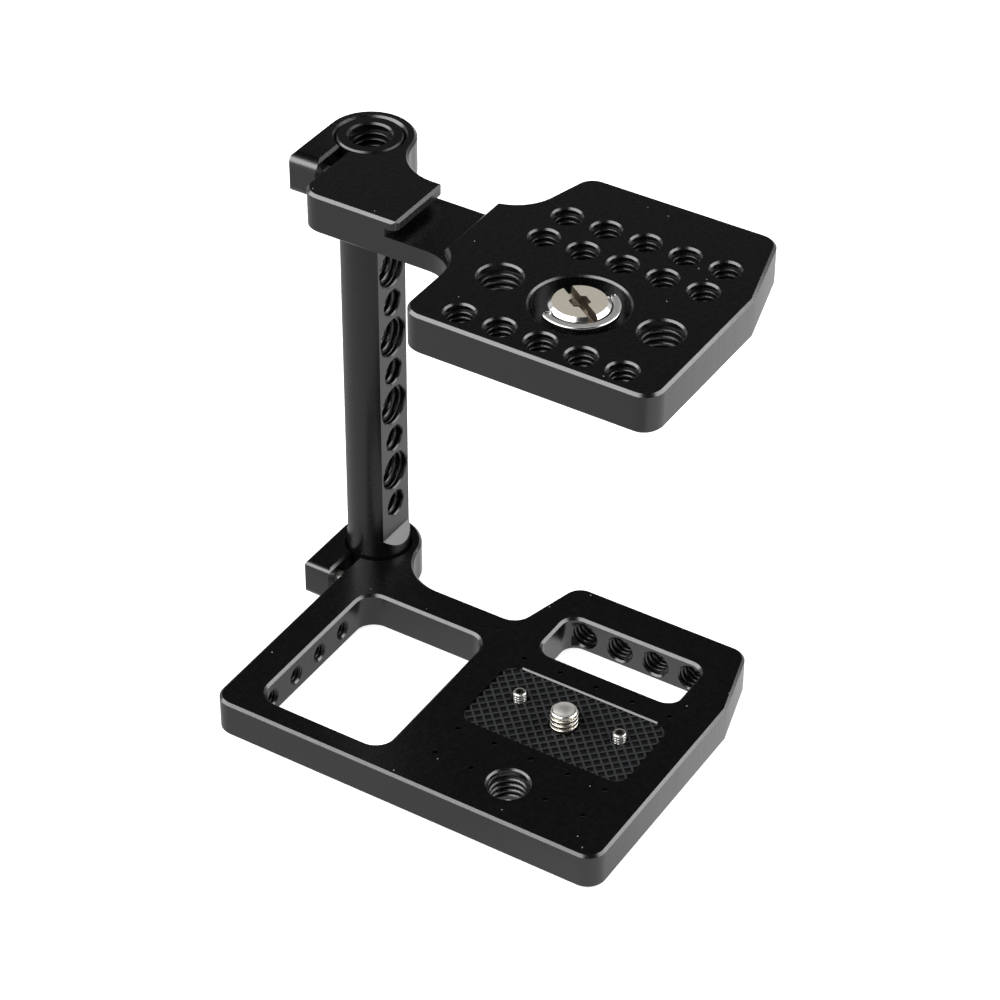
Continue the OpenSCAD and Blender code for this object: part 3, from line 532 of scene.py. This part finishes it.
# Camera screws. Turned from stainless steel: a broad head with a coin slot and a hexagon socket,
# a narrow neck that keeps the screw in its plate, and a short quarter-inch thread.
def stainless(name, tint, roughness, middle=None):
    """Bare stainless steel with fine marks. If a middle is given, the lathe's grooves run round it."""
    material = bpy.data.materials.new(name)
    material.use_nodes = True
    tree = material.node_tree
    tree.nodes.clear()
    place = add(tree, "ShaderNodeTexCoord").outputs["Object"]
    # marks of 0.2 mm, drawn coarser than they are so that they show, change the gloss by a tenth
    marks = add(tree, "ShaderNodeTexNoise", {"Vector": place, "Scale": 1 / (0.2 * MM), "Detail": 3.0})
    gloss = add(tree, "ShaderNodeMapRange", {"Value": marks.outputs["Fac"], "From Min": 0.3,
                                             "From Max": 0.7, "To Min": roughness * 0.9,
                                             "To Max": roughness * 1.1})
    steel = add(tree, "ShaderNodeBsdfPrincipled", {"Base Color": colour(tint), "Metallic": 1.0,
                                                   "Roughness": gloss.outputs["Result"]})
    if middle:
        # grooves 0.5 mm apart: at a scale of 1 the wave texture's rings are a twentieth of 2 pi apart
        centred = add(tree, "ShaderNodeMapping", {"Vector": place,
                                                  "Location": (-middle[0] * MM, -middle[1] * MM, 0.0)})
        grooves = add(tree, "ShaderNodeTexWave", {"Vector": centred.outputs[0], "Distortion": 0.0,
                                                  "Scale": 2 * math.pi / 20 / (0.5 * MM)},
                      wave_type="RINGS", rings_direction="Z")
        turned = add(tree, "ShaderNodeBump", {"Height": grooves.outputs["Fac"], "Strength": 0.5,
                                              "Distance": 0.01 * MM})
        tree.links.new(turned.outputs[0], steel.inputs["Normal"])
    add(tree, "ShaderNodeOutputMaterial", {"Surface": steel.outputs[0]})
    return material


ground_steel = stainless("fine_ground_stainless_steel", "#ece6d8", 0.64)
turned_steel = stainless("turned_stainless_steel", "#f0ede6", 0.5, SCREW)
rolled_steel = stainless("thread_rolled_stainless_steel", "#e6e2da", 0.27)
polished_steel = stainless("polished_stainless_steel", "#e8e7e5", 0.2)
# painted shade: the walls of slots and sockets are drawn in steel tinted dark brown-grey, as the shade in
# these recesses
recess_shaded_steel = stainless("stainless_steel_painted_recess_shade", "#776e62", 0.52)


def lathe(name, rows, columns, place, material, recess=None, bands=()):
    """Closed solid of rings about the Z axis, in mm. A row gives radius and height at an angle. The bands
    between rows that are listed, such as a socket's, have the recess's finish."""
    shape = bmesh.new()
    angles = [2 * math.pi * n / columns for n in range(columns)]
    rings = []
    for row in rows:
        ring = []
        for angle in angles:
            radius, z = row(angle)
            ring.append(shape.verts.new((radius * math.cos(angle), radius * math.sin(angle), z)))
        rings.append(ring)
    for band, (low, high) in enumerate(zip(rings, rings[1:])):
        for n in range(columns):
            m = (n + 1) % columns
            shape.faces.new((low[n], low[m], high[m], high[n])).material_index = int(band in bands)
    shape.faces.new(rings[0][::-1]).material_index = int(0 in bands)
    shape.faces.new(rings[-1]).material_index = int(len(rings) - 2 in bands)
    shape.transform(place @ Matrix.Scale(MM, 4))
    bmesh.ops.recalc_face_normals(shape, faces=shape.faces)
    mesh = bpy.data.meshes.new(name)
    shape.to_mesh(mesh)
    shape.free()
    mesh.materials.append(material)
    if recess:
        mesh.materials.append(recess)
    return mesh


def plain(radius, z):
    """A row on a circle."""
    return lambda angle: (radius, z)


def threaded(outer, depth, pitch, bottom, top, steps_per_pitch=12):
    """Rows of a right-hand thread with broad, rounded crests, which fades out at its foot."""
    def row(z):
        def at(angle):
            turn = (z / pitch - angle / (2 * math.pi)) % 1.0
            crest = 0.5 - 0.5 * math.cos(2 * math.pi * turn)
            crest = min(1.0, max(0.0, (crest - 0.05) / 0.45))
            crest = crest * crest * (3 - 2 * crest)
            fade = min(1.0, (z - bottom) / (0.5 * pitch))
            return outer - depth * (1 - crest) * fade, z
        return at
    count = max(2, round((top - bottom) / pitch * steps_per_pitch))
    return [row(bottom + (top - bottom) * n / count) for n in range(count + 1)]


def domed(rows, outer, top, drop, round_off):
    """The same rows held inside a tip that is rounded off below its top."""
    def held(row):
        def at(angle):
            radius, z = row(angle)
            sink = max(0.0, (z - (top - drop)) / drop)
            return min(radius, outer - round_off * (1 - math.sqrt(max(0.0, 1 - sink * sink)))), z
        return at
    return [held(row) for row in rows]


def stud(name, foot, tip, material):
    """The quarter-inch thread of a camera screw from foot to tip, with a turned, domed end."""
    crown, core = 0.55, 2.4
    rows = domed(threaded(QUARTER_RADIUS, 0.75, QUARTER_PITCH, foot, tip - crown, 20), QUARTER_RADIUS,
                 tip - crown + 0.03, 1.1, 0.85)
    # turning grooves on the end, every half millimetre
    end = [plain(r, tip - crown * (r / core) ** 2 - (0.015 if n % 2 else 0.0))
           for n, r in enumerate((2.30, 2.05, 1.80, 1.55, 1.30, 1.05, 0.80, 0.55, 0.30))]
    return lathe(name, [plain(core, foot)] + rows + end, 72, Matrix.Identity(4), material, turned_steel,
                 range(len(rows), len(rows) + len(end)))


def cut_copy(node, level, keep_above):
    """A closed copy of a CAD screw without what lies beyond a level, where its thread starts."""
    made = merged_copy(node + "_copy", node)
    shape = bmesh.new()
    shape.from_mesh(made.data)
    everything = list(shape.verts) + list(shape.edges) + list(shape.faces)
    cut = bmesh.ops.bisect_plane(shape, geom=everything, plane_co=(0, 0, level * MM), plane_no=(0, 0, 1),
                                 clear_outer=not keep_above, clear_inner=keep_above)
    bmesh.ops.holes_fill(shape, edges=[e for e in cut["geom_cut"] if isinstance(e, bmesh.types.BMEdge)])
    shape.to_mesh(made.data)
    shape.free()
    mesh = made.data
    bpy.data.objects.remove(made)
    return mesh


def standing(x, y, upside_down=False, base=0.0):
    """The place of a screw whose axis is upright, in mm."""
    place = Matrix.Translation((x * MM, y * MM, base * MM))
    return place @ Matrix.Rotation(math.pi, 4, "X") if upside_down else place


def finished(mesh, flat, edge, cut=None, middle=(0, 0)):
    """Gives level faces one finish, what slopes or stands upright another, and a slot's walls a third
    material, which here carries painted shade.
    """
    head_inside = 5.2
    mesh.materials.clear()
    for material in [flat, edge] + ([cut] if cut else []):
        mesh.materials.append(material)
    for face in mesh.polygons:
        face.material_index = 0 if abs(face.normal.z) > 0.9 else 1
        inside = (face.center.xy - Vector(middle) * MM).length < head_inside * MM
        if cut and inside and abs(face.normal.z) < 0.1:
            face.material_index = 2
    return mesh


STANDS_OUT = 4.8      # length of a camera screw's thread beyond the pad or the upper plate
base_thread = stud("thread", PAD_TOP, PAD_TOP + STANDS_OUT, rolled_steel)
base_thread.transform(standing(*SCREW))
base_screw = joined("base_camera_screw_steel", [
    finished(cut_copy("base_camera_screw", PAD_TOP - 0.01, False), ground_steel, polished_steel,
             recess_shaded_steel, SCREW), base_thread], (24, 80))
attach(base_screw, "base_screw")
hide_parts("base_camera_screw")

UPPER_UNDERSIDE = UPPER_TOP - PLATE
upper_thread = stud("thread", 0.0, STANDS_OUT, rolled_steel)
upper_thread.transform(standing(*UPPER_SCREW, upside_down=True, base=UPPER_UNDERSIDE))
upper_screw = joined("upper_camera_screw_steel", [
    finished(cut_copy("upper_camera_screw", UPPER_UNDERSIDE + 0.01, True), ground_steel, polished_steel,
             recess_shaded_steel, UPPER_SCREW), upper_thread], (24, 80))
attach(upper_screw, "upper_screw")
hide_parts("upper_camera_screw")


# Folding rings. Half rings of stainless strip, polished, whose two bent ends turn in the
# screw's head. Folded, they lie flat round one half of the head.
ring_top = stainless("drawn_stainless_strip", "#dedddb", 0.58)
for node, ring_body in (("base_screw_ring", "base_ring"), ("upper_screw_ring", "upper_ring")):
    loop = merged_copy(node + "_polished", node)
    edge = loop.modifiers.new("rounded edges", "BEVEL")
    edge.width = 0.42 * MM
    edge.segments = 3
    edge.use_clamp_overlap = False
    edge.limit_method = "ANGLE"
    edge.angle_limit = math.radians(50)
    bpy.context.view_layer.update()
    smooth = bpy.data.meshes.new_from_object(loop.evaluated_get(bpy.context.evaluated_depsgraph_get()))
    loop.modifiers.clear()
    loop.data = finished(smooth, ring_top, polished_steel)
    smooth.shade_smooth()
    smooth.set_sharp_from_angle(angle=math.radians(40))
    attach(loop, ring_body)
    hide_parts(node)


# Register screws. Two small headless screws of plain stainless steel with a hexagon socket. They
# stand out of the pad beside the camera screw and keep a camera from turning on it.
small_steel = stainless("plain_stainless_steel", "#e8e7e3", 0.32)


def hexagon(across_flats, z):
    """A row on a hexagon's outline."""
    def at(angle):
        beside = (angle % math.radians(60)) - math.radians(30)
        return across_flats / 2 / math.cos(beside), z
    return at


def register_screw(name, screw_body):
    """A register screw from its foot to its tip, with the socket in its tip."""
    node = screw_body.replace("register", "register_screw")
    foot, tip = [corner[2] for corner in corners(node)]
    radius, socket, socket_depth = 1.5, 1.5, 1.6
    # the thread's pitch is drawn at 0.7 mm, coarser than the 0.5 mm of an M3, so that its grooves show
    thread = threaded(radius, 0.34, 0.7, foot + 0.05, tip - 0.02)
    rows = [plain(0.9, foot)] + domed(thread, radius, tip, 0.5, 0.45)
    rows += [plain(0.98, tip), hexagon(socket, tip), hexagon(socket, tip - socket_depth)]
    solid = lathe(name, rows, 48, standing(*middle_of(node)), small_steel, recess_shaded_steel, (len(rows) - 2,))
    made = joined(name, [solid], 55)
    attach(made, screw_body)
    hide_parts(node)


register_screw("register_screw_left_steel", "register_left")
register_screw("register_screw_right_steel", "register_right")


# Clamp screws. Socket-head screws of plain stainless steel. Each lies in the ear of a clamp and
# draws the slit together, and its thread shows as a glint inside the slit.
def clamp_screw(name, screw_body, level):
    """A clamp screw at a level, from the face of its head along X to the tip of its shank."""
    node = screw_body + "_screw"
    head_face, ear_middle = corners(node)[0][0], middle_of(node)[1]
    head, shank, head_radius, radius = 4.0, 14.0, 3.5, 2.0
    socket, socket_depth = 3.0, 2.0
    tip = head + shank
    rows = [hexagon(socket, socket_depth), hexagon(socket, 0.0), plain(3.1, 0.0), plain(3.42, 0.12),
            plain(head_radius, 0.4), plain(head_radius, head), plain(radius, head)]
    rows += domed(threaded(radius, 0.38, 0.7, head + 0.02, tip - 0.02), radius, tip, 0.5, 0.5)
    start = Matrix.Translation((head_face * MM, ear_middle * MM, level * MM))
    place = start @ Matrix.Rotation(math.pi / 2, 4, "Y")
    made = joined(name, [lathe(name, rows, 48, place, small_steel, recess_shaded_steel, (0,))], 55)
    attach(made, screw_body)
    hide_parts(node)


clamp_screw("base_clamp_screw_steel", "base_clamp", PLATE / 2)
clamp_screw("upper_clamp_screw_steel", "upper_clamp", UPPER_TOP - PLATE / 2)
